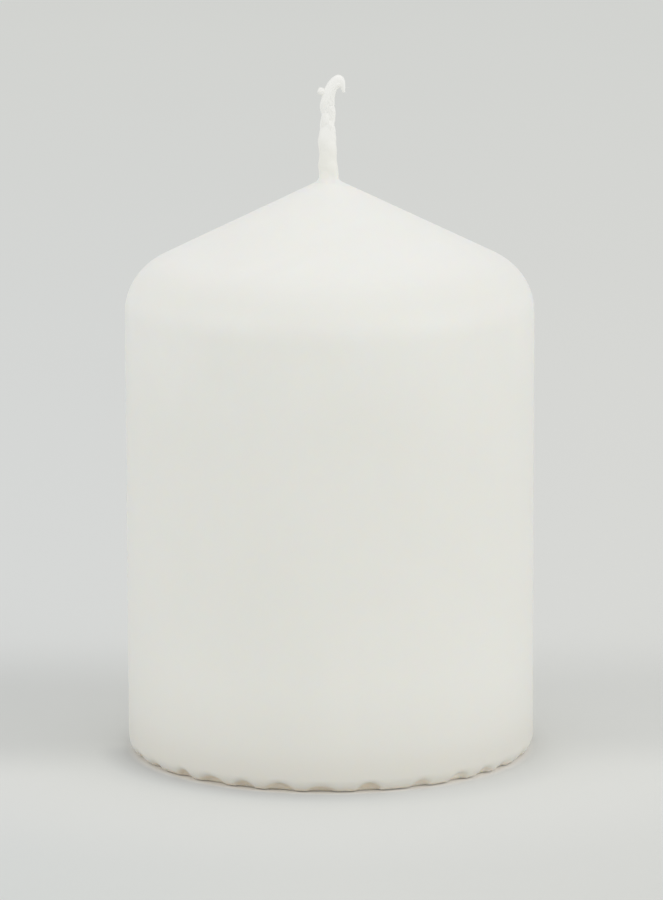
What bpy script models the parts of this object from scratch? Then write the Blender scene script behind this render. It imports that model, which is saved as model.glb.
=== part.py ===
"""A pressed and overdipped pillar candle with a braided cotton wick, as one scene of named solids.

Metres, +Z up. The origin is the centre of the base, on the surface that the candle stands on.
"""

import math

import bmesh
import bpy
from mathutils import Matrix, Vector

MM = 0.001

# Driving dimensions of the candle's outside.
RADIUS = 35.0 * MM
APEX_HEIGHT = 99.6 * MM  # where the sloping flank would meet the axis
FLANK_ANGLE = math.radians(25.9)  # the flank's slope above the horizontal
SHOULDER = 10.2 * MM  # rounding between flank and side
FOOT_ROUND = 1.6 * MM  # rounding of the bottom edge

# The dipped coat, and the wax sleeve that it leaves on the foot of the wick.
COAT = 0.9 * MM
HEM_RETURN = 1.0 * MM  # how far the coat turns in under the core
SLEEVE_TOP = 106.6 * MM
SLEEVE_OUTER = 1.65 * MM
SLEEVE_INNER = 1.34 * MM
SLEEVE_FILLET = 1.2 * MM

GAP = 0.3 * MM  # between pieces that touch on the real candle

# Radial flutes pressed into the bottom edge, which give the hem its scallops.
FLUTES = 30
FLUTE_RADIUS = 1.9 * MM
FLUTE_HEIGHT = 1.1 * MM
FLUTE_START = 29.0 * MM

# The underside: a flat foot ring round a shallow dish, with a seat for the sustainer.
FOOT_INNER = 20.5 * MM
DISH_DEPTH = 1.5 * MM

# The stamped sustainer that holds the wick's lower end.
TIN = 0.3 * MM
DISC_RADIUS = 10.0 * MM
BEAD_RADIUS = 7.0 * MM
BEAD_HEIGHT = 0.35 * MM
NECK_INNER = 1.38 * MM
NECK_TOP = 8.2 * MM
CRIMP_FROM = 4.0 * MM
CRIMP_TO = 7.4 * MM
CRIMP_SQUEEZE = 0.22  # share of the neck's depth that the crimp takes

# The flat-braided wick: three plaits that swap places every third of a pitch.
PLAIT_RADIUS = 0.4 * MM
BRAID_HALF_WIDTH = 0.85 * MM
BRAID_HALF_DEPTH = 0.6 * MM
BRAID_PITCH = 10.0 * MM
BRAID_STEPS = 12  # points in one pitch
BRAID_BOTTOM = 1.8 * MM
BRAID_TOP = 111.5 * MM
LEAN = -0.27 * MM  # sideways lean of the bare wick, reached at the braid's top
LEAN_FROM = 107.0 * MM
BORE_RADIUS = 1.6 * MM
COUNTERBORE_RADIUS = 2.1 * MM

# Where each loosened plait goes above the braid, in millimetres, and how thick its end is.
PLAIT_TIPS = {
    "wick_plait_left": (
        0.8,
        ((-1.15, 0.0, 112.5), (-1.13, 0.0, 113.4), (-1.35, 0.0, 114.2), (-1.66, -0.05, 114.6)),
    ),
    "wick_plait_back": (
        0.6,
        (
            (0.04, 0.50, 112.5),
            (-0.02, 0.44, 113.6),
            (0.04, 0.38, 114.7),
            (0.33, 0.32, 115.7),
            (0.86, 0.28, 116.35),
            (1.5, 0.25, 116.6),
            (2.1, 0.20, 116.22),
            (2.43, 0.14, 115.5),
            (2.52, 0.10, 114.7),
            (2.47, 0.08, 114.0),
        ),
    ),
    "wick_plait_front": (
        0.7,
        (
            (0.30, -0.50, 112.5),
            (0.42, -0.44, 113.6),
            (0.58, -0.38, 114.5),
            (0.88, -0.30, 115.2),
            (1.28, -0.26, 115.6),
            (1.6, -0.22, 115.66),
        ),
    ),
}

TURN_STEPS = 60  # twice the flutes, so that each flute is cut the same way
TIN_STEPS = 32


def clear_scene():
    for obj in list(bpy.data.objects):
        bpy.data.objects.remove(obj, do_unlink=True)


def new_collection(name):
    collection = bpy.data.collections.new(name)
    bpy.context.scene.collection.children.link(collection)
    return collection


def plain_material(name, colour, roughness, metallic=0.0):
    material = bpy.data.materials.new(name)
    material.use_nodes = True
    shader = material.node_tree.nodes["Principled BSDF"]
    shader.inputs["Base Color"].default_value = (*colour, 1.0)
    shader.inputs["Roughness"].default_value = roughness
    shader.inputs["Metallic"].default_value = metallic
    return material


def arc(centre, radius, start, end, steps):
    """Points (r, z) on an arc between two angles, which are in degrees from +r towards +z."""
    angles = [math.radians(start + (end - start) * i / steps) for i in range(steps + 1)]
    return [(centre[0] + radius * math.cos(a), centre[1] + radius * math.sin(a)) for a in angles]


def flank_height(r, inset=0.0):
    """Height of the flank at radius r, for a surface that lies inset below the outside."""
    return APEX_HEIGHT - r * math.tan(FLANK_ANGLE) - inset / math.cos(FLANK_ANGLE)


def shoulder_arc(inset, steps):
    """The shoulder's rounding from flank to side, on a surface that lies inset below the outside."""
    centre = (RADIUS - SHOULDER, flank_height(RADIUS - SHOULDER, SHOULDER))
    return arc(centre, SHOULDER - inset, 90.0 - math.degrees(FLANK_ANGLE), 0.0, steps)


def foot_arc(inset, start, end, steps):
    """The bottom edge's rounding, on a surface that lies inset below the outside."""
    return arc((RADIUS - FOOT_ROUND, FOOT_ROUND), FOOT_ROUND - inset, start, end, steps)


def turned(name, profile, closed, steps, material, collection):
    """A profile of (r, z) points turned about Z. It runs down its outer side."""
    count = len(profile)
    edges = [(i, (i + 1) % count) for i in range(count if closed else count - 1)]
    mesh = bpy.data.meshes.new(name)
    mesh.from_pydata([(r, 0.0, z) for r, z in profile], edges, [])
    mesh.materials.append(material)
    obj = bpy.data.objects.new(name, mesh)
    collection.objects.link(obj)
    screw = obj.modifiers.new("turn", "SCREW")
    screw.axis = "Z"
    screw.steps = steps
    screw.render_steps = steps
    screw.use_merge_vertices = True
    screw.merge_threshold = 0.00001
    screw.use_smooth_shade = True
    return obj


def flute_cutters(collection):
    """One helper object with a horizontal cylinder for each radial flute."""
    sides = 12
    length = RADIUS + FLUTE_RADIUS - FLUTE_START
    lie_along_x = Matrix.Rotation(math.radians(90.0), 4, "Y")
    middle = Vector((FLUTE_START + length / 2, 0.0, FLUTE_HEIGHT - FLUTE_RADIUS))
    cutters = bmesh.new()
    for i in range(FLUTES):
        turn = Matrix.Rotation(math.tau * (i + 0.5) / FLUTES, 4, "Z")
        bmesh.ops.create_cone(
            cutters,
            cap_ends=True,
            segments=sides,
            radius1=FLUTE_RADIUS,
            radius2=FLUTE_RADIUS,
            depth=length,
            matrix=turn @ Matrix.Translation(middle) @ lie_along_x,
        )
    mesh = bpy.data.meshes.new("flute_cutters")
    cutters.to_mesh(mesh)
    cutters.free()
    obj = bpy.data.objects.new("flute_cutters", mesh)
    collection.objects.link(obj)
    obj.hide_render = True
    obj.display_type = "WIRE"
    return obj


def cut(obj, cutter):
    boolean = obj.modifiers.new("flutes", "BOOLEAN")
    boolean.operation = "DIFFERENCE"
    boolean.solver = "EXACT"
    boolean.object = cutter


def pressed_wax_core(material, collection):
    """The pressed wax body: bored for the wick, dished underneath, and rebated for the coat's hem."""
    inset = COAT + GAP
    bore_top = flank_height(BORE_RADIUS, inset)
    ledge = FOOT_ROUND - FOOT_ROUND / 4
    hem_end = RADIUS - FOOT_ROUND - HEM_RETURN
    seat = DISH_DEPTH + TIN + GAP
    profile = [(BORE_RADIUS, bore_top)]
    profile += shoulder_arc(inset, 6)
    profile += foot_arc(inset, 0.0, -90.0, 2)
    profile += [(hem_end - GAP, ledge), (hem_end - GAP, 0.0)]
    profile += [(FOOT_INNER, 0.0), (FOOT_INNER - DISH_DEPTH, DISH_DEPTH)]
    profile += [(DISC_RADIUS + GAP, DISH_DEPTH), (DISC_RADIUS + GAP, seat + BEAD_HEIGHT)]
    profile += [(COUNTERBORE_RADIUS + GAP + TIN, seat + BEAD_HEIGHT)]
    profile += [(COUNTERBORE_RADIUS, seat + 2 * BEAD_HEIGHT)]
    profile += [(COUNTERBORE_RADIUS, NECK_TOP + GAP), (BORE_RADIUS, NECK_TOP + GAP)]
    return turned("pressed_wax_core", profile, True, TURN_STEPS, material, collection)


def overdip_coat(material, collection):
    """The harder wax skin: sleeve on the wick, flank, shoulder, side and a hem turned under the core."""
    slope = math.degrees(FLANK_ANGLE)
    fillet_r = SLEEVE_OUTER + SLEEVE_FILLET
    fillet = arc((fillet_r, flank_height(fillet_r, -SLEEVE_FILLET)), SLEEVE_FILLET, 180.0, 270.0 - slope, 4)
    hem_end = RADIUS - FOOT_ROUND - HEM_RETURN
    rim = (SLEEVE_OUTER - SLEEVE_INNER) / 3
    profile = [(SLEEVE_INNER, SLEEVE_TOP), (SLEEVE_OUTER - rim, SLEEVE_TOP)]
    profile += [(SLEEVE_OUTER, SLEEVE_TOP - rim)]
    profile += fillet
    profile += shoulder_arc(0.0, 8)
    profile += foot_arc(0.0, 0.0, -90.0, 3)
    profile += [(hem_end, 0.0), (hem_end, COAT)]
    profile += foot_arc(COAT, -90.0, 0.0, 2)
    profile += reversed(shoulder_arc(COAT, 6))
    profile += [(SLEEVE_INNER, flank_height(SLEEVE_INNER, COAT))]
    return turned("overdip_coat", profile, True, TURN_STEPS, material, collection)


def solid_mesh_of(obj):
    """Replaces an object's modifiers by the mesh that they make."""
    graph = bpy.context.evaluated_depsgraph_get()
    mesh = bpy.data.meshes.new_from_object(obj.evaluated_get(graph))
    obj.modifiers.clear()
    obj.data = mesh
    return mesh


def squeeze(z):
    """How far the crimp has closed at height z, from 0 at its ends to 1 in its middle."""
    share = (z - CRIMP_FROM) / (CRIMP_TO - CRIMP_FROM)
    return math.sin(math.pi * share) ** 2 if 0.0 < share < 1.0 else 0.0


def wick_sustainer(material, collection):
    """A stamped tin disc with a raised bead and a neck, crimped onto the wick."""
    half = TIN / 2
    base = DISH_DEPTH + half
    neck = NECK_INNER + half
    flare = 0.8 * MM
    crimp_steps = 8
    profile = [(neck, NECK_TOP)]
    profile += [
        (neck, CRIMP_TO + (CRIMP_FROM - CRIMP_TO) * i / crimp_steps) for i in range(crimp_steps + 1)
    ]
    profile += arc((neck + flare, base + flare), flare, 180.0, 270.0, 4)
    bead = 0.9 * MM
    profile += [
        (BEAD_RADIUS - bead, base),
        (BEAD_RADIUS - bead / 3, base + BEAD_HEIGHT),
        (BEAD_RADIUS + bead / 3, base + BEAD_HEIGHT),
        (BEAD_RADIUS + bead, base),
        (DISC_RADIUS, base),
    ]
    obj = turned("wick_sustainer", profile, False, TIN_STEPS, material, collection)
    wall = obj.modifiers.new("sheet", "SOLIDIFY")
    wall.thickness = TIN
    wall.offset = 0.0
    wall.use_even_offset = True
    mesh = solid_mesh_of(obj)
    for vertex in mesh.vertices:
        closed = squeeze(vertex.co.z)
        vertex.co.y *= 1.0 - CRIMP_SQUEEZE * closed
        vertex.co.x *= 1.0 + CRIMP_SQUEEZE / 4 * closed
    mesh.set_sharp_from_angle(angle=math.radians(40.0))
    return obj


def smooth_step(share):
    share = min(1.0, max(0.0, share))
    return share * share * (3.0 - 2.0 * share)


def braid_point(z, plait):
    """A plait's centre at height z. At the braid's top, plait 0 is the one on the left."""
    phase = math.tau * ((z - BRAID_TOP) / BRAID_PITCH + 0.75 + plait / 3)
    lean = LEAN * smooth_step((z - LEAN_FROM) / (BRAID_TOP - LEAN_FROM))
    x = lean + BRAID_HALF_WIDTH * math.sin(phase)
    y = BRAID_HALF_DEPTH * math.sin(2.0 * phase)
    return Vector((x, y, z))


def through(points, steps):
    """A smooth curve through the points (Catmull-Rom), with this many steps between each two."""
    first = points[0] * 2 - points[1]
    last = points[-1] * 2 - points[-2]
    ends = [first, *points, last]
    curve = []
    for a, b, c, d in zip(ends, ends[1:], ends[2:], ends[3:]):
        for i in range(steps):
            t = i / steps
            curve.append(
                0.5 * (2 * b + (c - a) * t + (2 * a - 5 * b + 4 * c - d) * t * t
                       + (3 * b - a - 3 * c + d) * t ** 3)
            )
    return [*curve, points[-1]]


def plait_line(number, tip):
    """A plait's centreline: the braid, then its own loosened tip."""
    count = round((BRAID_TOP - BRAID_BOTTOM) / BRAID_PITCH * BRAID_STEPS)
    braid = [
        braid_point(BRAID_BOTTOM + (BRAID_TOP - BRAID_BOTTOM) * i / count, number)
        for i in range(count + 1)
    ]
    loose = [Vector(point) * MM for point in tip]
    return braid[:-1] + through([braid[-1], *loose], 2)


def wick_plait(name, number, end_share, tip, material, collection):
    """One plait of the wick, as a tube that thins towards its cut end."""
    line = plait_line(number, tip)
    curve = bpy.data.curves.new(name, "CURVE")
    curve.dimensions = "3D"
    curve.bevel_depth = PLAIT_RADIUS
    curve.bevel_resolution = 1
    curve.use_fill_caps = True
    spline = curve.splines.new("POLY")
    spline.points.add(len(line) - 1)
    taper_points = 6
    for i, place in enumerate(line):
        spline.points[i].co = (*place, 1.0)
        left = (len(line) - 1 - i) / taper_points
        spline.points[i].radius = end_share + (1.0 - end_share) * min(1.0, left)
    curve.materials.append(material)
    obj = bpy.data.objects.new(name, curve)
    collection.objects.link(obj)
    return obj


def main():
    clear_scene()
    candle = new_collection("pillar_candle")
    helpers = new_collection("cutters")
    core_wax = plain_material("core_wax", (0.80, 0.79, 0.74), 0.7)
    dip_wax = plain_material("dip_wax", (0.84, 0.83, 0.79), 0.42)
    cotton = plain_material("waxed_cotton", (0.83, 0.82, 0.77), 0.75)
    tinplate = plain_material("tinplate", (0.62, 0.62, 0.61), 0.35, metallic=1.0)

    cutters = flute_cutters(helpers)
    cut(pressed_wax_core(core_wax, candle), cutters)
    cut(overdip_coat(dip_wax, candle), cutters)
    wick_sustainer(tinplate, candle)
    for number, (name, (end_share, tip)) in enumerate(PLAIT_TIPS.items()):
        wick_plait(name, number, end_share, tip, cotton, candle)


main()
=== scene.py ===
"""The looks of a white pillar candle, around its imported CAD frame. Lengths are in metres."""

import math

import bpy
import numpy as np
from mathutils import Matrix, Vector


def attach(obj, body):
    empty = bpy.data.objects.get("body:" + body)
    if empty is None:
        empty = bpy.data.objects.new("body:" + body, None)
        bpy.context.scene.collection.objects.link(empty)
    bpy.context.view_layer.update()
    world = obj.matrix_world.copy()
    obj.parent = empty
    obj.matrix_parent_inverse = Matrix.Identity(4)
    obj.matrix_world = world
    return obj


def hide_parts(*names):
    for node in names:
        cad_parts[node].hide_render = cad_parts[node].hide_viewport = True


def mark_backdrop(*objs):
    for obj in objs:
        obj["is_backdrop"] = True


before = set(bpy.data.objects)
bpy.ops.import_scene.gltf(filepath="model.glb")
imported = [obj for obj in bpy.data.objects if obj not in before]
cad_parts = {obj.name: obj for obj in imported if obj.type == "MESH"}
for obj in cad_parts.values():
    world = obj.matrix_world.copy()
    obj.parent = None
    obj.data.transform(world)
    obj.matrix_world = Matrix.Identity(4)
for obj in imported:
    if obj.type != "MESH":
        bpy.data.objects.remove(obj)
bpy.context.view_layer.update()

MM = 0.001

# ---------------------------------------------------------------- sizes, most of them the CAD's

RADIUS = 35.0 * MM
APEX_HEIGHT = 99.48 * MM  # where the sloping flank would meet the axis
FLANK_ANGLE = math.radians(25.9)  # above the horizontal
SHOULDER = 10.2 * MM  # rounding between flank and side
FOOT_ROUND = 2.3 * MM  # rounding of the bottom edge, softer than the CAD's
COAT = 0.9 * MM  # thickness of the dipped wax
HEM_RETURN = 0.8 * MM  # how far the coat turns in under the core
GAP = 0.3 * MM  # between pieces that touch on the real candle

# The sleeve of wax on the foot of the wick.
SLEEVE_FOOT = 98.6 * MM
SLEEVE_TOP = 108.8 * MM
SLEEVE_RADIUS = 1.62 * MM
SLEEVE_BORE = 0.12 * MM  # the wax soaks the wick almost to its middle
SLEEVE_FILLET = 1.4 * MM
SLEEVE_OVAL = 0.87  # its depth as a share of its width
ON_WICK = 4.0 * MM  # nearer the axis than this, the coat follows the wick

# The underside: a flat foot ring round a dish, with a seat for the sustainer.
FOOT_INNER = 20.5 * MM
DISH_DEPTH = 1.5 * MM
WICK_BORE = 1.6 * MM  # radius, as is the next one
NECK_BORE = 2.1 * MM
NECK_BORE_TOP = 8.5 * MM

# The tin sustainer.
TIN = 0.3 * MM
DISC_RADIUS = 10.0 * MM
NECK_RADIUS = 1.53 * MM  # at the middle of the tin
NECK_TOP = 8.2 * MM
NECK_BEND = 0.8 * MM
BEAD_RADIUS = 7.0 * MM
BEAD_HEIGHT = 0.35 * MM
RIB_RADIUS = 4.6 * MM
RIB_HEIGHT = 0.22 * MM
CRIMP_FROM = 4.0 * MM
CRIMP_TO = 7.4 * MM

# Flutes of the bottom edge: how far each one near the front strays from its even place, in degrees.
FLUTES = 30
FLUTE_STRAY = {-4: 1.6, -3: 0.1, -2: -1.4, -1: -2.6, 0: -2.8, 1: -1.2, 2: 2.3, 3: 3.1, 4: 1.3}
SHALLOW_FLUTES = (5, 6, 7)  # counted from the front on either side, and half as high as the rest
FLUTE_HALF_WIDTH = math.radians(3.9)
FLUTE_HEIGHT = 1.35 * MM
FLUTE_REACH = 3.2 * MM  # how far up the wax gives way above a flute
FLUTE_START = 32.5 * MM  # the radius where a flute begins to lift the wax
FLUTE_RAMP = 1.3 * MM  # how much further out it has its full height

FRONT = -math.pi / 2  # the angle of the side that faces the camera
COLUMNS = 720  # points round the turned pieces


# ---------------------------------------------------------------- small helpers

def arc(centre, radius, start, end, steps):
    """Points on an arc between two angles, in degrees from +r towards +z."""
    angles = np.radians(np.linspace(start, end, steps + 1))
    return [(centre[0] + radius * math.cos(a), centre[1] + radius * math.sin(a)) for a in angles]


def line(start, end, steps):
    """Points from start to end, without the end."""
    return [tuple(np.array(start) + (np.array(end) - start) * i / steps) for i in range(steps)]


def flank_height(r, inset=0.0):
    """Height of the flank at radius r, for a surface that lies inset below the outside."""
    return APEX_HEIGHT - r * math.tan(FLANK_ANGLE) - inset / math.cos(FLANK_ANGLE)


def shoulder_arc(inset, steps):
    centre = (RADIUS - SHOULDER, flank_height(RADIUS - SHOULDER, SHOULDER))
    return arc(centre, SHOULDER - inset, 90.0 - math.degrees(FLANK_ANGLE), 0.0, steps)


def foot_arc(inset, start, end, steps):
    return arc((RADIUS - FOOT_ROUND, FOOT_ROUND), FOOT_ROUND - inset, start, end, steps)


def smooth(share):
    share = np.clip(share, 0.0, 1.0)
    return share * share * (3.0 - 2.0 * share)


def ripple(seed, theta, z, orders=(2, 3, 5), height=0.04):
    """Smooth noise of about unit size over angle and height, the same on each run."""
    rng = np.random.default_rng(seed)
    total = np.zeros(np.broadcast(theta, z).shape)
    for order in orders:
        for _ in range(3):
            turn = rng.integers(-order, order + 1)
            rise = rng.uniform(-1.0, 1.0) * 2 * math.pi / height
            total = total + np.cos(turn * theta + rise * z + rng.uniform(0, 2 * math.pi))
    return total / math.sqrt(4.5 * len(orders))


def solid_from_grid(name, points, material, caps=False):
    """A closed mesh from points[row, column]. Columns wrap round, and so do rows unless capped."""
    rows, columns = points.shape[:2]
    last = rows - 1 if caps else rows
    i, j = np.meshgrid(np.arange(last), np.arange(columns), indexing="ij")
    up, across = (i + 1) % rows, (j + 1) % columns
    row, next_row = i * columns, up * columns
    quads = np.stack([row + j, row + across, next_row + across, next_row + j], -1)
    faces = quads.reshape(-1, 4).tolist()
    if caps:
        faces.append(list(range(columns))[::-1])
        faces.append([(rows - 1) * columns + k for k in range(columns)])
    mesh = bpy.data.meshes.new(name)
    mesh.from_pydata(points.reshape(-1, 3).tolist(), [], faces)
    mesh.validate()
    corners = points.reshape(-1, 3)[quads.reshape(-1, 4)]
    a, b, c, d = (corners[:, k] for k in range(4))
    volume = np.einsum("ij,ij->i", a, np.cross(b, c) + np.cross(c, d)).sum()
    if volume < 0:  # the quads face inwards
        mesh.flip_normals()
    mesh.shade_smooth()
    mesh.materials.append(material)
    obj = bpy.data.objects.new(name, mesh)
    bpy.context.scene.collection.objects.link(obj)
    return obj


def piece(obj, slot, *nodes):
    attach(obj, "root")
    if nodes:
        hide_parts(*nodes)
    return obj


# ---------------------------------------------------------------- node materials

class Shader:
    """A Principled material, and short ways to add procedural nodes to it."""

    def __init__(self, name, **values):
        self.material = bpy.data.materials.new(name)
        self.material.use_nodes = True
        self.nodes = self.material.node_tree.nodes
        self.links = self.material.node_tree.links
        self.bsdf = self.nodes["Principled BSDF"]
        for socket, value in values.items():
            self.bsdf.inputs[socket.replace("_", " ")].default_value = value
        self.place = self.nodes.new("ShaderNodeTexCoord").outputs["Object"]

    def add(self, kind, inputs=(), **settings):
        node = self.nodes.new(kind)
        for key, value in settings.items():
            setattr(node, key, value)
        for key, value in dict(inputs).items():
            self.feed(value, node.inputs[key])
        return node

    def feed(self, value, socket):
        if isinstance(value, bpy.types.NodeSocket):
            self.links.new(value, socket)
        else:
            socket.default_value = value

    def stretched(self, x, y, z):
        return self.add("ShaderNodeMapping", {"Vector": self.place, "Scale": (x, y, z)}).outputs[0]

    def noise(self, scale, detail=3.0, roughness=0.5, vector=None, distortion=0.0):
        inputs = {
            "Vector": vector or self.place,
            "Scale": scale,
            "Detail": detail,
            "Roughness": roughness,
            "Distortion": distortion,
        }
        return self.add("ShaderNodeTexNoise", inputs).outputs["Fac"]

    def ranged(self, value, low, high, to_low, to_high, clamp=True):
        inputs = {0: value, 1: low, 2: high, 3: to_low, 4: to_high}
        node = self.add("ShaderNodeMapRange", inputs, clamp=clamp, interpolation_type="LINEAR")
        return node.outputs[0]

    def eased(self, value, low, high, to_low, to_high):
        inputs = {0: value, 1: low, 2: high, 3: to_low, 4: to_high}
        return self.add("ShaderNodeMapRange", inputs, interpolation_type="SMOOTHSTEP").outputs[0]

    def mixed(self, share, first, second):
        node = self.add("ShaderNodeMix", data_type="RGBA")
        for index, value in ((0, share), (6, first), (7, second)):
            self.feed(value, node.inputs[index])
        return node.outputs[2]

    def maths(self, operation, first, second):
        return self.add("ShaderNodeMath", {0: first, 1: second}, operation=operation).outputs[0]

    def axis(self, name):
        return self.add("ShaderNodeSeparateXYZ", {0: self.place}).outputs[name]

    def off_axis(self):
        """Distance from the candle's axis."""
        kind = "ShaderNodeVectorMath"
        flat = self.add(kind, {0: self.place, 1: (1.0, 1.0, 0.0)}, operation="MULTIPLY")
        return self.add(kind, {0: flat.outputs[0]}, operation="LENGTH").outputs["Value"]

    def bump(self, height, strength, distance, normal=None):
        inputs = {"Height": height, "Strength": strength, "Distance": distance}
        if normal:
            inputs["Normal"] = normal
        return self.add("ShaderNodeBump", inputs).outputs[0]

    def set(self, socket, value):
        self.feed(value, self.bsdf.inputs[socket])


def rgba(r, g, b):
    return (r, g, b, 1.0)


def dipped_wax():
    """Milky wax with painted shade, warm brown in the hem's nicks, and painted light that makes it
    nearly white up the wick's sleeve.
    """
    s = Shader("dipped_wax", IOR=1.44, Subsurface_Scale=0.6 * MM)
    s.bsdf.inputs["Subsurface Radius"].default_value = (1.0, 0.85, 0.65)
    s.bsdf.inputs["Specular IOR Level"].default_value = 0.42
    height, across, away = s.axis("Z"), s.axis("X"), s.off_axis()

    clouds = s.ranged(s.noise(38.0, 4.0, 0.55, distortion=0.6), 0.35, 0.68, 0.0, 1.0)
    tone = s.mixed(clouds, rgba(0.909, 0.905, 0.858), rgba(0.930, 0.926, 0.884))
    runs = s.noise(170.0, 2.0, 0.5, s.stretched(1.0, 1.0, 0.12))
    tone = s.mixed(s.ranged(runs, 0.5, 0.75, 0.0, 0.35), tone, rgba(0.916, 0.907, 0.852))

    # Painted shade: the side, a band round the shoulder, the lower side and the foot are each a
    # little darker.
    side = s.eased(height, 57.0 * MM, 77.0 * MM, 0.44, 0.0)
    tone = s.mixed(side, tone, rgba(0.852, 0.847, 0.798))
    shade_band_from = s.eased(height, 78.5 * MM, 82.5 * MM, 0.0, 0.45)
    shade_band_to = s.eased(height, 83.5 * MM, 87.0 * MM, 1.0, 0.0)
    tone = s.mixed(s.maths("MULTIPLY", shade_band_from, shade_band_to), tone, rgba(0.852, 0.85, 0.805))
    lower_side_shade = s.eased(height, 1.0 * MM, 20.0 * MM, 0.72, 0.0)
    tone = s.mixed(lower_side_shade, tone, rgba(0.81, 0.797, 0.748))
    foot = s.eased(height, 0.5 * MM, 9.0 * MM, 0.78, 0.0)
    tone = s.mixed(foot, tone, rgba(0.79, 0.77, 0.71))

    # Painted shade on the turned-in rim: warm, and browner where a flute lifts it, apart from the +X
    # side, where painted light makes it paler.
    rim = s.eased(away, 33.9 * MM, 34.65 * MM, 1.0, 0.0)
    hem = s.maths("MULTIPLY", rim, s.eased(height, 2.4 * MM, 3.2 * MM, 1.0, 0.0))
    light_to_right = s.eased(across, 0.0, 16.0 * MM, 0.0, 1.0)
    hem_shade_tone = s.mixed(light_to_right, rgba(0.9, 0.83, 0.72), rgba(0.95, 0.885, 0.785))
    tone = s.mixed(hem, tone, hem_shade_tone)
    lifted = s.eased(height, 0.35 * MM, 0.7 * MM, 0.0, 1.0)
    nick_shade = s.maths("MULTIPLY", lifted, s.eased(across, 10.0 * MM, 21.0 * MM, 0.36, 0.0))
    tone = s.mixed(s.maths("MULTIPLY", hem, nick_shade), tone, rgba(0.73, 0.63, 0.49))

    # The sleeve takes an even tone, and painted light makes it nearly white towards its top.
    sleeve = s.eased(height, 98.4 * MM, 100.0 * MM, 0.0, 1.0)
    tone = s.mixed(sleeve, tone, rgba(0.925, 0.918, 0.866))
    sleeve_top_light = s.eased(height, 101.5 * MM, 107.5 * MM, 0.0, 1.0)
    tone = s.mixed(sleeve_top_light, tone, rgba(0.965, 0.96, 0.93))
    s.set("Base Color", tone)
    # The sleeve is too thin for light to scatter in it as it does in the body.
    s.set("Subsurface Weight", s.eased(height, 98.6 * MM, 101.0 * MM, 0.6, 0.0))
    s.set("Roughness", s.ranged(s.noise(55.0, 5.0, 0.6), 0.3, 0.7, 0.36, 0.5))
    waves = s.bump(s.noise(60.0, 2.0, 0.4), 0.35, 0.25 * MM)
    pores = s.bump(s.noise(1500.0, 3.0, 0.6), 0.25, 0.02 * MM, waves)
    s.set("Normal", pores)
    return s.material


def soaked_wax():
    """Wax that has soaked the cotton, paler and rougher than the coat and finely mottled."""
    s = Shader("soaked_wax", IOR=1.44)
    s.bsdf.inputs["Specular IOR Level"].default_value = 0.7
    thin, thick = rgba(0.972, 0.966, 0.935), rgba(0.984, 0.98, 0.955)
    s.set("Base Color", s.mixed(s.noise(1400.0, 3.0), thin, thick))
    s.set("Roughness", s.ranged(s.noise(1100.0, 3.0), 0.3, 0.7, 0.4, 0.65))
    s.set("Normal", s.bump(s.noise(1600.0, 3.0), 0.5, 0.05 * MM))
    return s.material


def pressed_wax():
    """Wax granules pressed together, darker towards their edges, and browner near the foot with
    painted shade.
    """
    s = Shader("pressed_wax", IOR=1.44, Subsurface_Weight=0.6, Subsurface_Scale=0.001)
    s.bsdf.inputs["Subsurface Radius"].default_value = (1.0, 0.8, 0.6)
    grains = s.add("ShaderNodeTexVoronoi", {"Vector": s.place, "Scale": 900.0, "Randomness": 1.0})
    edge = s.ranged(grains.outputs["Distance"], 0.15, 0.75, 0.0, 1.0)
    tone = s.mixed(edge, rgba(0.86, 0.835, 0.77), rgba(0.77, 0.73, 0.65))
    tone = s.mixed(s.ranged(s.noise(90.0, 4.0), 0.4, 0.7, 0.0, 0.6), tone, rgba(0.8, 0.76, 0.68))
    # Painted shade, warm brown, on the foot where the flutes open under the coat.
    foot = s.eased(s.axis("Z"), 0.2 * MM, 2.2 * MM, 1.0, 0.0)
    tone = s.mixed(foot, tone, rgba(0.70, 0.61, 0.47))
    s.set("Base Color", tone)
    s.set("Roughness", s.ranged(s.noise(700.0, 3.0), 0.3, 0.7, 0.58, 0.8))
    s.set("Normal", s.bump(edge, 0.6, 0.08 * MM, s.bump(s.noise(220.0, 4.0), 0.5, 0.2 * MM)))
    return s.material


def waxed_cotton():
    """Cotton yarn with streaks along it and patches of wax."""
    s = Shader("waxed_cotton", IOR=1.45, Sheen_Weight=0.3)
    yarn = s.noise(2600.0, 3.0, 0.6, s.stretched(1.0, 1.0, 0.22))
    streaks = s.ranged(yarn, 0.3, 0.7, 0.0, 1.0)
    tone = s.mixed(streaks, rgba(0.955, 0.948, 0.912), rgba(0.98, 0.976, 0.95))
    patches = s.ranged(s.noise(420.0, 3.0), 0.45, 0.7, 0.0, 0.6)
    tone = s.mixed(patches, tone, rgba(0.965, 0.959, 0.925))
    s.set("Base Color", tone)
    s.set("Roughness", s.ranged(s.noise(900.0, 3.0), 0.3, 0.7, 0.45, 0.8))
    s.set("Normal", s.bump(yarn, 0.6, 0.05 * MM, s.bump(s.noise(900.0, 2.0), 0.4, 0.06 * MM)))
    return s.material


def tinplate():
    """Brushed tin with a film of wax in patches."""
    s = Shader("tinplate", Metallic=1.0)
    brushed = s.noise(900.0, 4.0, 0.6, s.stretched(1.0, 0.04, 1.0))
    lines = s.ranged(brushed, 0.3, 0.7, 0.0, 1.0)
    tone = s.mixed(lines, rgba(0.56, 0.56, 0.55), rgba(0.72, 0.72, 0.7))
    film = s.ranged(s.noise(240.0, 4.0), 0.52, 0.66, 0.0, 0.7)
    s.set("Base Color", s.mixed(film, tone, rgba(0.74, 0.73, 0.69)))
    bare = s.ranged(brushed, 0.2, 0.8, 0.24, 0.36)
    s.set("Roughness", s.maths("ADD", bare, s.maths("MULTIPLY", film, 0.3)))
    s.set("Normal", s.bump(brushed, 0.3, 0.02 * MM))
    return s.material


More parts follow.
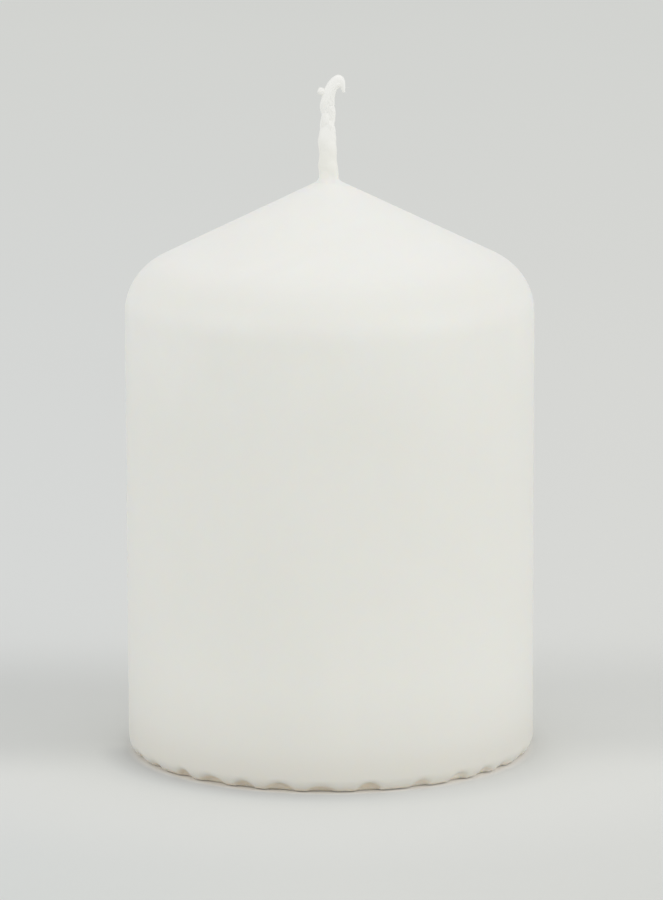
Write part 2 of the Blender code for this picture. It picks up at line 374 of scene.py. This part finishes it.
def floor_paper():
    """Pale paper, with painted light and shade from its surroundings laid over one another."""
    s = Shader("floor_paper", Roughness=0.9)
    s.bsdf.inputs["Specular IOR Level"].default_value = 0.0
    depth, side, away = s.axis("Y"), s.axis("X"), s.off_axis()

    # Painted light and shade: the paper's tone changes from left to right and in front of the
    # candle, and it is painted lighter far off.
    light_to_right = s.ranged(side, -60.0 * MM, 60.0 * MM, 0.0, 1.0)
    tone = s.mixed(light_to_right, rgba(0.762, 0.775, 0.766), rgba(0.772, 0.778, 0.757))
    left, middle = rgba(0.724, 0.745, 0.732), rgba(0.757, 0.766, 0.741)
    front = s.mixed(s.ranged(side, -60.0 * MM, 0.0, 0.0, 1.0), left, middle)
    right = rgba(0.742, 0.750, 0.725)
    front = s.mixed(s.ranged(side, 0.0, 60.0 * MM, 0.0, 1.0), front, right)
    tone = s.mixed(s.eased(depth, -110.0 * MM, -35.0 * MM, 1.0, 0.0), tone, front)
    tone = s.mixed(s.eased(away, 0.15, 1.25, 0.0, 1.0), tone, rgba(0.786, 0.797, 0.774))
    tone = s.mixed(s.eased(away, 1.4, 3.2, 0.0, 1.0), tone, rgba(0.8244, 0.8346, 0.822))

    # A painted light halo round the foot, a little further from it in front.
    reach = s.maths("ADD", away, s.ranged(depth, -20.0 * MM, 0.0, 0.0, 6.0 * MM))
    painted_halo_from = s.eased(reach, 38.0 * MM, 46.0 * MM, 0.0, 1.0)
    painted_halo_to = s.eased(reach, 47.0 * MM, 90.0 * MM, 1.0, 0.0)
    painted_halo = s.maths("MULTIPLY", s.maths("MULTIPLY", painted_halo_from, painted_halo_to), 0.62)
    tone = s.mixed(painted_halo, tone, rgba(0.83, 0.835, 0.81))

    # A soft shade close to the foot, in front and on the left.
    close = s.eased(away, 35.2 * MM, 41.5 * MM, 1.0, 0.0)
    shade = s.maths("MULTIPLY", close, s.eased(depth, -6.0 * MM, 2.0 * MM, 0.9, 0.0))
    shade = s.maths("MULTIPLY", shade, s.eased(side, -12.0 * MM, 24.0 * MM, 1.0, 0.0))
    tone = s.mixed(shade, tone, rgba(0.655, 0.662, 0.655))

    # Painted light on the paper under the rim, stronger on the +X side.
    contact_light_side = s.eased(side, 0.0, 16.0 * MM, 0.0, 1.0)
    contact_light = s.mixed(contact_light_side, rgba(0.94, 0.935, 0.915), rgba(0.98, 0.975, 0.96))
    tone = s.mixed(s.eased(away, 33.8 * MM, 35.6 * MM, 1.0, 0.0), tone, contact_light)

    # A broad band of painted shade that crosses the paper behind the candle, stronger on the left.
    edge = s.maths("ADD", depth, s.ranged(side, -60.0 * MM, -20.0 * MM, 5.0 * MM, 0.0))
    shade_band_from = s.eased(edge, -20.0 * MM, 9.0 * MM, 0.0, 1.0)
    shade_band_to = s.eased(depth, 38.0 * MM, 90.0 * MM, 1.0, 0.0)
    shade_band = s.maths("MULTIPLY", shade_band_from, shade_band_to)
    shade_band = s.maths("MULTIPLY", shade_band, s.eased(away, 90.0 * MM, 250.0 * MM, 1.0, 0.0))
    shade_band = s.maths("MULTIPLY", shade_band, s.ranged(side, -70.0 * MM, 70.0 * MM, 0.46, 0.26))
    tone = s.mixed(shade_band, tone, rgba(0.587, 0.598, 0.587))

    clouds = s.ranged(s.noise(5.0, 3.0), 0.3, 0.7, 0.0, 0.04)
    tone = s.mixed(clouds, tone, rgba(0.67, 0.68, 0.67))
    s.set("Base Color", tone)
    s.set("Normal", s.bump(s.noise(1200.0, 2.0), 0.1, 0.02 * MM))
    return s.material


# ---------------------------------------------------------------- the scalloped bottom edge

def flute_table():
    """Angle, height and half width of each flute. Only those near the front have set places."""
    rng = np.random.default_rng(11)
    table = []
    for number in range(-FLUTES // 2, FLUTES // 2):
        stray = FLUTE_STRAY.get(number, rng.uniform(-1.6, 1.6))
        height = FLUTE_HEIGHT * rng.uniform(0.82, 1.12)
        width = FLUTE_HALF_WIDTH * rng.uniform(0.8, 1.15)
        if number == 0:  # the photo shows this one low and wide
            height, width = 0.6 * FLUTE_HEIGHT, 1.1 * FLUTE_HALF_WIDTH
        if abs(number) in SHALLOW_FLUTES:
            height *= 0.5
        angle = FRONT + math.radians(number * 360.0 / FLUTES + stray)
        table.append((angle, height, width))
    return table


def lift(theta):
    """Height of the bottom edge above the floor at each angle."""
    total = np.zeros_like(theta)
    for angle, height, width in flute_table():
        away = (theta - angle + math.pi) % (2 * math.pi) - math.pi
        share = np.clip(1.0 - (away / width) ** 2, 0.0, 1.0)
        total = np.maximum(total, height * share ** 1.15)
    return total


def fluted(points):
    """The points, with the wax above each flute pushed up. Both wax pieces move alike."""
    x, y, z = points[..., 0], points[..., 1], points[..., 2]
    r = np.hypot(x, y)
    soft = np.clip(1.0 - z / FLUTE_REACH, 0.0, 1.0) ** 1.5
    run = smooth((r - FLUTE_START) / FLUTE_RAMP)
    moved = points.copy()
    moved[..., 2] = z + lift(np.arctan2(y, x)) * soft * run
    return moved


def turned_points(profile, columns):
    """A profile of (r, z) turned about Z, as points[row, column], and the columns' angles."""
    profile = np.array(profile)
    theta = np.linspace(0, 2 * math.pi, columns, endpoint=False)
    r, z = profile[:, 0][:, None], profile[:, 1][:, None]
    return np.stack([r * np.cos(theta), r * np.sin(theta), z + 0 * theta], -1), theta


# ---------------------------------------------------------------- the wick's way

BRAID_PITCH = 10.0 * MM
BRAID_PHASE = 0.75  # in turns, at the braid's top
BRAID_TOP = 111.5 * MM
BRAID_BOTTOM = 1.8 * MM
BRAID_BARE = 95.0 * MM  # from here up the plaits are closely spaced points
BRAID_HALF_WIDTH = 0.70 * MM
BRAID_HALF_DEPTH = 0.46 * MM
BRAID_MEAN = 0.52 * MM  # how far the plaits' middles reach from the braid's own, on average
PLAIT_GIRTH = 0.56 * MM  # radius of a plait
LEAN = -0.2 * MM  # sideways lean of the bare wick
LEAN_FROM = 97.0 * MM  # the height where the lean begins

# Left and right side of the sleeve of wax: (height, left x, right x), in millimetres.
SLEEVE_SIDES = [
    (98.8, -1.78, 1.66), (100.0, -1.7, 1.58), (101.2, -1.8, 1.5), (102.5, -1.68, 1.27),
    (103.9, -1.74, 1.28), (105.3, -1.86, 1.22), (106.4, -1.72, 1.17), (107.4, -1.42, 1.04),
    (108.2, -1.1, 0.75), (108.8, -0.9, 0.5),
]

# Middle of the soaked wick: (x, height, half width, half depth), in millimetres.
STEM = [
    (-0.15, 100.0, 1.0, 0.85), (-0.17, 107.4, 1.2, 0.98), (-0.19, 109.3, 1.16, 0.98),
    (-0.2, 111.3, 1.22, 0.98), (-0.08, 112.8, 1.1, 0.92), (0.16, 113.8, 1.02, 0.86),
    (0.52, 114.62, 0.98, 0.78), (1.02, 115.2, 1.02, 0.72), (1.56, 115.58, 1.0, 0.66),
    (2.06, 115.42, 0.74, 0.56), (2.34, 114.85, 0.48, 0.45), (2.47, 114.25, 0.33, 0.33),
    (2.55, 113.7, 0.19, 0.2),
]

# Above the braid, each plait's points (x, y, z) in millimetres and its girth as a share of its own.
TIPS = {
    "left": [(-0.66, 0.02, 112.5, 1.0), (-0.6, 0.0, 113.0, 1.0), (-0.74, -0.02, 113.5, 1.04),
             (-1.15, -0.05, 113.86, 1.14), (-1.62, -0.06, 113.96, 1.12)],
    "back": [(-0.1, 0.36, 112.5, 1.0), (-0.06, 0.34, 113.5, 1.0), (0.12, 0.32, 114.4, 1.0),
             (0.48, 0.28, 115.1, 1.0), (1.0, 0.24, 115.76, 1.0), (1.62, 0.2, 116.14, 0.98),
             (2.14, 0.17, 115.86, 0.86), (2.4, 0.13, 115.2, 0.68), (2.5, 0.10, 114.5, 0.5),
             (2.56, 0.08, 113.8, 0.34)],
    "front": [(0.36, -0.36, 112.5, 1.0), (0.5, -0.34, 113.5, 1.0), (0.74, -0.32, 114.2, 1.0),
              (1.06, -0.28, 114.78, 0.96), (1.46, -0.24, 115.08, 0.86), (1.86, -0.2, 115.0, 0.64),
              (2.1, -0.16, 114.7, 0.42)],
}
NUMBERS = {"left": 0, "back": 1, "front": 2}


def sleeve_at(z):
    """Middle x and half width of the sleeve at each height."""
    heights, *sides = (catmull_rom(SLEEVE_SIDES, 8) * MM).T
    left, right = (np.interp(z, heights, side) for side in sides)
    return (left + right) / 2, (right - left) / 2


def lean_at(z):
    """How far the sleeve stands off the candle's axis. Where it thins out, its middle stays put."""
    middle, _ = sleeve_at(np.minimum(z, 106.0 * MM))
    return middle * smooth((z - LEAN_FROM) / (3.0 * MM))


def braid_point(z, number):
    """A plait's middle at height z: from above it draws a figure of eight."""
    phase = 2 * math.pi * ((z - BRAID_TOP) / BRAID_PITCH + BRAID_PHASE + number / 3)
    x = LEAN * smooth((z - LEAN_FROM) / (6.0 * MM)) + BRAID_HALF_WIDTH * np.sin(phase)
    return np.stack([x, BRAID_HALF_DEPTH * np.sin(2 * phase), z], -1)


def braid_relief(z, angle):
    """How far the bare braid stands out past its average, in the direction of each angle."""
    bulge = np.zeros(np.broadcast(z, angle).shape)
    for number in range(len(NUMBERS)):
        centre = braid_point(z, number)
        reach = (centre[..., 0] - LEAN) * np.cos(angle) + centre[..., 1] * np.sin(angle)
        bulge = np.maximum(bulge, reach)
    return bulge - BRAID_MEAN


def catmull_rom(points, steps):
    """A smooth curve through the points, with this many steps between each two."""
    points = np.array(points)
    ends = np.vstack([2 * points[0] - points[1], points, 2 * points[-1] - points[-2]])
    curve = []
    for a, b, c, d in zip(ends, ends[1:], ends[2:], ends[3:]):
        for t in np.arange(steps) / steps:
            curve.append(0.5 * (2 * b + (c - a) * t + (2 * a - 5 * b + 4 * c - d) * t * t
                                + (3 * b - a - 3 * c + d) * t ** 3))
    return np.array([*curve, points[-1]])


def plait_way(name):
    """(points, girth) along a plait, closely spaced where it's bare and wider inside the candle."""
    inside = np.arange(BRAID_BOTTOM, BRAID_BARE, 0.5 * MM)
    bare = np.arange(BRAID_BARE, BRAID_TOP, 0.12 * MM)
    heights = np.concatenate([inside, bare, [BRAID_TOP]])
    braid = braid_point(heights, NUMBERS[name])
    tip = np.array(TIPS[name])
    tip[:, :3] *= MM
    start = np.append(braid[-1], 1.0)
    loose = catmull_rom([start, *tip], 9)
    way = np.vstack([np.column_stack([braid[:-1], np.ones(len(braid) - 1)]), loose])
    return way[:, :3], way[:, 3]


def tube(way, radius):
    """Points of a tube along a way, for radius[point, side]. The first side faces -X on a rise."""
    tangent = np.gradient(way, axis=0)
    tangent /= np.linalg.norm(tangent, axis=1)[:, None]
    first = np.empty_like(way)
    first[0] = np.cross(tangent[0], (0.0, 1.0, 0.0))
    for i in range(len(way)):
        first[i] -= tangent[i] * np.dot(first[i], tangent[i])
        first[i] /= np.linalg.norm(first[i])
        if i + 1 < len(way):
            first[i + 1] = first[i]
    second = np.cross(tangent, first)
    angle = np.linspace(0, 2 * math.pi, radius.shape[1], endpoint=False)[None, :, None]
    out = np.cos(angle) * first[:, None, :] + np.sin(angle) * second[:, None, :]
    return way[:, None, :] + radius[..., None] * out


# A cut end's rings: their size as a share of the plait's, and how far each lies past the end.
END_RINGS = ((0.85, 0.10 * MM), (0.55, 0.20 * MM), (0.2, 0.26 * MM))

FIBRES = 90
FIBRE_FOOT = 106.5 * MM  # the height of the lowest ones
FIBRE_ROOT = 0.42 * MM  # how far from the plait's middle they start
FIBRE_RADIUS = 0.022 * MM
FIBRE_STEPS = 5


def yarn_radius(seed, way, girth, sides=30):
    """A plait's radius round and along it: five twisted yarns, fine threads and a slow swell."""
    shifts = np.random.default_rng(seed).uniform(0, 2 * math.pi, 4)
    angle = np.linspace(0, 2 * math.pi, sides, endpoint=False)[None, :]
    steps = np.linalg.norm(np.diff(way, axis=0), axis=1)
    turn = 2 * math.pi * np.concatenate([[0], np.cumsum(steps)])[:, None]
    yarns = np.abs(np.cos(2.5 * (angle + turn / (5.5 * MM)) + shifts[0]))
    fine = 0.012 * np.cos(11 * angle + turn / (0.9 * MM) + shifts[1])
    swell = 0.03 * np.cos(turn / (2.3 * MM) + shifts[2])
    return PLAIT_GIRTH * (0.9 + 0.12 * yarns ** 0.7 + fine + swell) * girth[:, None]


def make_plait(name, seed, material):
    """One plait of the wick, whose ends close in over rings like cut yarn under wax."""
    way, girth = plait_way(name)
    points = tube(way, yarn_radius(seed, way, girth))
    for end, inner in ((0, 1), (-1, -2)):
        centre = way[end]
        out = way[end] - way[inner]
        out /= np.linalg.norm(out)
        rings = []
        for shrink, push in END_RINGS:
            rings.append(centre + (points[end] - centre) * shrink + out * push * girth[end])
        rings = np.array(rings)
        parts = [rings[::-1], points] if end == 0 else [points, rings]
        points = np.concatenate(parts)
    obj = solid_from_grid("plait_" + name, points, material, caps=True)
    return piece(obj, "waxed_cotton", "wick_plait_" + name)


def make_fuzz(material):
    """Stray cotton fibres that stand off the bare wick."""
    rng = np.random.default_rng(5)
    ways = {name: plait_way(name) for name in TIPS}
    points, faces = [], []
    for _ in range(FIBRES):
        name = rng.choice(list(ways))
        way, girth = ways[name]
        bare = np.nonzero(way[:, 2] > FIBRE_FOOT)[0]
        at = len(way) - 1 - int((rng.random() ** 1.6) * (len(bare) - 3))
        tangent = way[at] - way[at - 1]
        tangent /= np.linalg.norm(tangent)
        side = rng.normal(size=3)
        side -= tangent * side.dot(tangent)
        side /= np.linalg.norm(side)
        start = way[at] + side * FIBRE_ROOT * girth[at]
        length = rng.uniform(0.25, 0.9) * MM
        curl = rng.normal(size=3) * 0.5
        across = np.cross(tangent, side)
        base = len(points)
        for k in range(FIBRE_STEPS + 1):
            t = k / FIBRE_STEPS
            place = start + length * t * (side * 0.55 + tangent * 0.75 + curl * t)
            thick = FIBRE_RADIUS * (1.0 - 0.7 * t)
            for turn in range(3):
                a = turn * 2 * math.pi / 3
                points.append(place + thick * (math.cos(a) * across + math.sin(a) * tangent))
        for k in range(FIBRE_STEPS):
            for turn in range(3):
                a, b = base + k * 3 + turn, base + k * 3 + (turn + 1) % 3
                faces.append((a, b, b + 3, a + 3))
        faces.append((base + 2, base + 1, base))
        top = base + FIBRE_STEPS * 3
        faces.append((top, top + 1, top + 2))
    mesh = bpy.data.meshes.new("wick_fuzz")
    mesh.from_pydata([tuple(p) for p in points], [], faces)
    mesh.validate()
    mesh.materials.append(material)
    obj = bpy.data.objects.new("wick_fuzz", mesh)
    bpy.context.scene.collection.objects.link(obj)
    return piece(obj, "waxed_cotton")


def make_film(material):
    """Wax that has soaked the bare wick and fills the hollows between its plaits."""
    curve = catmull_rom(STEM, 14) * MM
    x, z, width, depth = (curve[:, [k]] for k in range(4))
    way = np.hstack([x, 0 * x, z])
    angle = np.linspace(0, 2 * math.pi, 44, endpoint=False)[None, :]
    radius = width * depth / np.hypot(depth * np.cos(angle), width * np.sin(angle))
    # The braid shows through up to where its plaits part. The tube's angles count from -X.
    braided = 1.0 - smooth((z - 111.0 * MM) / (2.0 * MM))
    relief = 0.75 * braid_relief(z, angle + math.pi) * braided
    lumps = 0.04 * MM * ripple(31, angle, z, (1, 2, 3), 0.004)
    radius = radius + (relief + lumps) * np.clip(width / MM, 0.0, 1.0)
    obj = solid_from_grid("wick_wax", tube(way, radius), material, caps=True)
    return piece(obj, "dip_wax")


# ---------------------------------------------------------------- the wax pieces

def coat_profile():
    """Outside from the sleeve's top down to the hem's end, and inside from there back up."""
    slope = math.degrees(FLANK_ANGLE)
    fillet_r = SLEEVE_RADIUS + SLEEVE_FILLET
    fillet_z = flank_height(fillet_r, -SLEEVE_FILLET)
    fillet = arc((fillet_r, fillet_z), SLEEVE_FILLET, 180.0, 270.0 - slope, 9)
    hem_end = RADIUS - FOOT_ROUND - HEM_RETURN
    shoulder = shoulder_arc(0.0, 22)
    outer = line((SLEEVE_RADIUS, SLEEVE_TOP), fillet[0], 34)
    outer += fillet[:-1] + line(fillet[-1], shoulder[0], 14) + shoulder[:-1]
    low = (RADIUS, 4.0 * MM)  # the rows are closer together below this
    outer += line(shoulder[-1], low, 14) + line(low, (RADIUS, FOOT_ROUND), 5)
    foot = foot_arc(0.0, 0.0, -90.0, 9)
    outer += foot[:-1] + line(foot[-1], (hem_end, 0.0), 2)
    inner = [(hem_end, 0.0), (hem_end, COAT / 2), (hem_end, COAT)]
    inner += foot_arc(COAT, -90.0, 0.0, 3) + [(RADIUS - COAT, FLUTE_REACH)]
    inner += shoulder_arc(COAT, 5)[::-1]
    inner += [(SLEEVE_BORE, flank_height(SLEEVE_BORE, COAT)), (SLEEVE_BORE, SLEEVE_TOP)]
    return outer, inner


def make_coat(material):
    """The dipped coat, with its uneven sleeve on the wick and its scalloped hem."""
    outer, inner = coat_profile()
    points, theta = turned_points(outer + inner, COLUMNS)
    x, y, z = points[..., 0], points[..., 1], points[..., 2]
    is_outer = np.arange(len(points))[:, None] < len(outer)
    r = np.hypot(x, y)

    # The dip leaves slow waves on the side and flank. They fade out towards the wick and the foot.
    waves = 0.06 * MM * ripple(3, theta, z, (1, 2, 3, 5), 0.09)
    off_wick, off_foot = smooth((r - 5.0 * MM) / (10.0 * MM)), smooth(z / (6.0 * MM))
    r = r + np.where(is_outer, waves * (off_wick * off_foot), 0.0)

    # The sleeve is squeezed to the braid's oval, swells and narrows, and thins out at its top.
    middle, half = sleeve_at(z)
    oval = half * SLEEVE_OVAL / np.hypot(SLEEVE_OVAL * np.cos(theta), np.sin(theta))
    relief = 0.2 * braid_relief(z, theta)
    lumps = 0.05 * MM * ripple(8, theta, z, (1, 2, 3), 0.006)
    up = smooth((z - SLEEVE_FOOT) / (1.2 * MM))
    on_wick = is_outer & (z > SLEEVE_FOOT) & (r < ON_WICK)
    r = np.where(on_wick, r + up * (oval + relief + lumps - r), r)
    x = r * np.cos(theta) + np.where(r < ON_WICK, lean_at(z), 0.0)
    y = r * np.sin(theta)
    points = fluted(np.stack([x, y, z], -1))
    obj = solid_from_grid("dipped_coat", points, material)
    return piece(obj, "dip_wax", "overdip_coat")


def core_profile():
    """From the bore's top out over the flank, down the side, and in under the candle to the bore."""
    inset = COAT + GAP
    side = RADIUS - inset
    hem_end = RADIUS - FOOT_ROUND - HEM_RETURN - GAP
    rebate = 1.2 * MM  # the height of the step that the coat's hem turns into
    chamfer = 0.12 * MM
    foot = FOOT_INNER + 0.3 * MM  # where the foot ring starts to round into the dish
    dish_from, dish_to = FOOT_INNER - 1.4 * MM, DISC_RADIUS + 0.5 * MM
    seat = DISH_DEPTH + TIN + GAP + 0.35 * MM
    profile = [(WICK_BORE, flank_height(WICK_BORE, inset))] + shoulder_arc(inset, 8)
    profile += line((side, 70.0 * MM), (side, FLUTE_REACH), 3)
    profile += line((side, FLUTE_REACH), (side, FOOT_ROUND), 3)
    profile += foot_arc(inset, 0.0, -90.0, 2)
    profile += [(hem_end, rebate), (hem_end, 0.5 * rebate)]
    profile += [(hem_end, chamfer), (hem_end - chamfer, 0.0)]
    profile += line((hem_end - 0.4 * MM, 0.0), (foot, 0.0), 8)
    profile += arc((foot, 0.5 * MM), 0.5 * MM, -90.0, -135.0, 3)
    profile += line((FOOT_INNER - 0.5 * MM, 0.6 * MM), (dish_from, DISH_DEPTH), 3)
    profile += line((dish_from, DISH_DEPTH), (dish_to, DISH_DEPTH), 9)
    profile += [(DISC_RADIUS + 0.35 * MM, DISH_DEPTH + 0.1 * MM), (DISC_RADIUS + 0.3 * MM, seat)]
    profile += [(NECK_BORE + 0.6 * MM, seat), (NECK_BORE, seat + 0.35 * MM)]
    profile += [(NECK_BORE, NECK_BORE_TOP), (WICK_BORE, NECK_BORE_TOP)]
    return profile


def make_core(material):
    """The pressed core. Underneath, its granules show as a fine unevenness."""
    points, _ = turned_points(core_profile(), COLUMNS)
    x, y, z = points[..., 0], points[..., 1], points[..., 2]
    r = np.hypot(x, y)
    grain = np.random.default_rng(21).normal(size=r.shape)
    grain = (grain + np.roll(grain, 1, 1) + np.roll(grain, -1, 1)) / 3
    in_dish = (np.abs(z - DISH_DEPTH) < 0.1 * MM) & (r > 11.0 * MM) & (r < 19.0 * MM)
    z = z + np.where(in_dish, 0.05 * MM * np.abs(grain), 0.0)
    points = fluted(np.stack([x, y, z], -1))
    obj = solid_from_grid("pressed_core", points, material)
    return piece(obj, "core_wax", "pressed_wax_core")


def sustainer_profile():
    """The tin's middle line from the neck's top to the disc's rim, thickened to a closed outline."""
    half = TIN / 2
    base = DISH_DEPTH + half
    bend = NECK_RADIUS + NECK_BEND
    middle = [(NECK_RADIUS, NECK_TOP)]
    middle += line((NECK_RADIUS, NECK_TOP - 0.2 * MM), (NECK_RADIUS, base + 0.9 * MM), 26)
    middle += arc((bend, base + NECK_BEND), NECK_BEND, 180.0, 270.0, 8)
    for r in np.linspace(2.6 * MM, 9.8 * MM, 60):
        bead = BEAD_HEIGHT * math.exp(-((r - BEAD_RADIUS) / (0.42 * MM)) ** 2)
        middle.append((r, base + bead))
    middle += [(9.93 * MM, base), (DISC_RADIUS - half * 0.3, base)]
    middle = np.array(middle)
    way = np.gradient(middle, axis=0)
    way /= np.linalg.norm(way, axis=1)[:, None]
    normal = np.column_stack([-way[:, 1], way[:, 0]])
    rim = [(DISC_RADIUS, base + 0.4 * half), (DISC_RADIUS, base - 0.4 * half)]
    return np.vstack([middle + normal * half, rim, (middle - normal * half)[::-1]])


def make_sustainer(material):
    """The stamped disc with its rolled bead, three ribs and a crimped neck with toothed sides."""
    points, theta = turned_points(sustainer_profile(), 192)
    x, y, z = points[..., 0], points[..., 1], points[..., 2]
    r = np.hypot(x, y)
    share = np.clip((z - CRIMP_FROM) / (CRIMP_TO - CRIMP_FROM), 0.0, 1.0)
    crimp = np.sin(math.pi * share) ** 2
    teeth = 1.0 + 0.05 * crimp * np.cos(8 * theta)
    x, y = x * teeth * (1.0 + 0.05 * crimp), y * teeth * (1.0 - 0.2 * crimp)
    ribs = np.exp(-((r - RIB_RADIUS) / (1.0 * MM)) ** 2) * np.clip(np.cos(3 * theta), 0.0, 1.0) ** 4
    z = z + RIB_HEIGHT * ribs * (z < 3.0 * MM)
    obj = solid_from_grid("stamped_sustainer", np.stack([x, y, z], -1), material)
    return piece(obj, "tinplate", "wick_sustainer")


# ---------------------------------------------------------------- stage, light and camera

# Name, place, size and power in watts of each softbox.
SOFTBOXES = [
    ("softbox_above", (0.12, -0.15, 1.0), (0.9, 0.9), 0.55),
    ("softbox_right", (1.5, -1.1, 1.44), (1.4, 1.4), 2.2),
    ("low_right", (1.7, -0.9, 0.44), (1.2, 0.8), 3.32),
    ("low_left", (-1.7, -0.9, 0.84), (1.2, 1.2), 3.54),
]
TENT_STRENGTH = 0.786
FAR_TONE = (0.648, 0.656, 0.643)  # what the camera sees past the floor

# Rings of the floor. The last but one keeps the rim's rounded shading off the floor.
FLOOR_RADII = [0.0005, 0.03, 0.06, 0.12, 0.25, 0.5, 1.0, 2.0, 3.99, 4.0]
FLOOR_DROP = 0.02 * MM
FLOOR_BOTTOM = -10.0 * MM

CAMERA_PLACE = (0.26 * MM, -900.0 * MM, 220.6 * MM)
CAMERA_LENS = 213.32  # millimetres, on a film 36 mm high
CAMERA_DOWN = math.radians(10.61)
CAMERA_ROLL = math.radians(-0.19)


def make_floor(material):
    """A wide round floor. It lies a hair below the candle, so that no two faces share a plane."""
    profile = [(r, -FLOOR_DROP) for r in FLOOR_RADII]
    profile += [(FLOOR_RADII[-1], FLOOR_BOTTOM), (FLOOR_RADII[0], FLOOR_BOTTOM)]
    points, _ = turned_points(profile, 96)
    obj = solid_from_grid("floor", points, material)
    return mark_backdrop(obj)


def make_light(name, place, size, power):
    """A rectangular softbox that faces the middle of the candle."""
    light = bpy.data.lights.new(name, "AREA")
    light.shape = "RECTANGLE"
    light.size, light.size_y = size
    light.energy = power
    obj = bpy.data.objects.new(name, light)
    obj.location = place
    to_candle = Vector((0.0, 0.0, 60.0 * MM)) - obj.location
    obj.rotation_euler = to_candle.to_track_quat("-Z", "Y").to_euler()
    obj.visible_camera = False
    bpy.context.scene.collection.objects.link(obj)


def make_world():
    """A white light tent. What the camera sees past the floor has the floor's own far tone."""
    world = bpy.data.worlds.new("tent")
    bpy.context.scene.world = world
    world.use_nodes = True
    nodes, links = world.node_tree.nodes, world.node_tree.links
    tent = nodes["Background"]
    tent.inputs["Color"].default_value = rgba(1.0, 1.0, 0.995)
    tent.inputs["Strength"].default_value = TENT_STRENGTH
    seen = nodes.new("ShaderNodeBackground")
    seen.inputs["Color"].default_value = rgba(*FAR_TONE)
    path, mix = nodes.new("ShaderNodeLightPath"), nodes.new("ShaderNodeMixShader")
    links.new(path.outputs["Is Camera Ray"], mix.inputs[0])
    links.new(tent.outputs[0], mix.inputs[1])
    links.new(seen.outputs[0], mix.inputs[2])
    links.new(mix.outputs[0], nodes["World Output"].inputs["Surface"])


def make_camera():
    data = bpy.data.cameras.new("camera")
    data.sensor_width = 36.0
    data.lens = CAMERA_LENS
    data.clip_start, data.clip_end = 0.05, 20.0
    camera = bpy.data.objects.new("camera", data)
    camera.rotation_mode = "XYZ"
    camera.location = CAMERA_PLACE
    tilt = Matrix.Rotation(math.pi / 2 - CAMERA_DOWN, 4, "X")
    roll = Matrix.Rotation(CAMERA_ROLL, 4, "Z")
    camera.rotation_euler = (tilt @ roll).to_euler()
    bpy.context.scene.collection.objects.link(camera)
    bpy.context.scene.camera = camera


def main():
    cotton = waxed_cotton()
    make_coat(dipped_wax())
    make_core(pressed_wax())
    for seed, name in enumerate(TIPS):
        make_plait(name, seed, cotton)
    make_film(soaked_wax())
    make_fuzz(cotton)
    make_sustainer(tinplate())
    make_floor(floor_paper())
    make_world()
    for softbox in SOFTBOXES:
        make_light(*softbox)
    make_camera()
    bpy.context.scene.view_settings.view_transform = "Standard"


main()
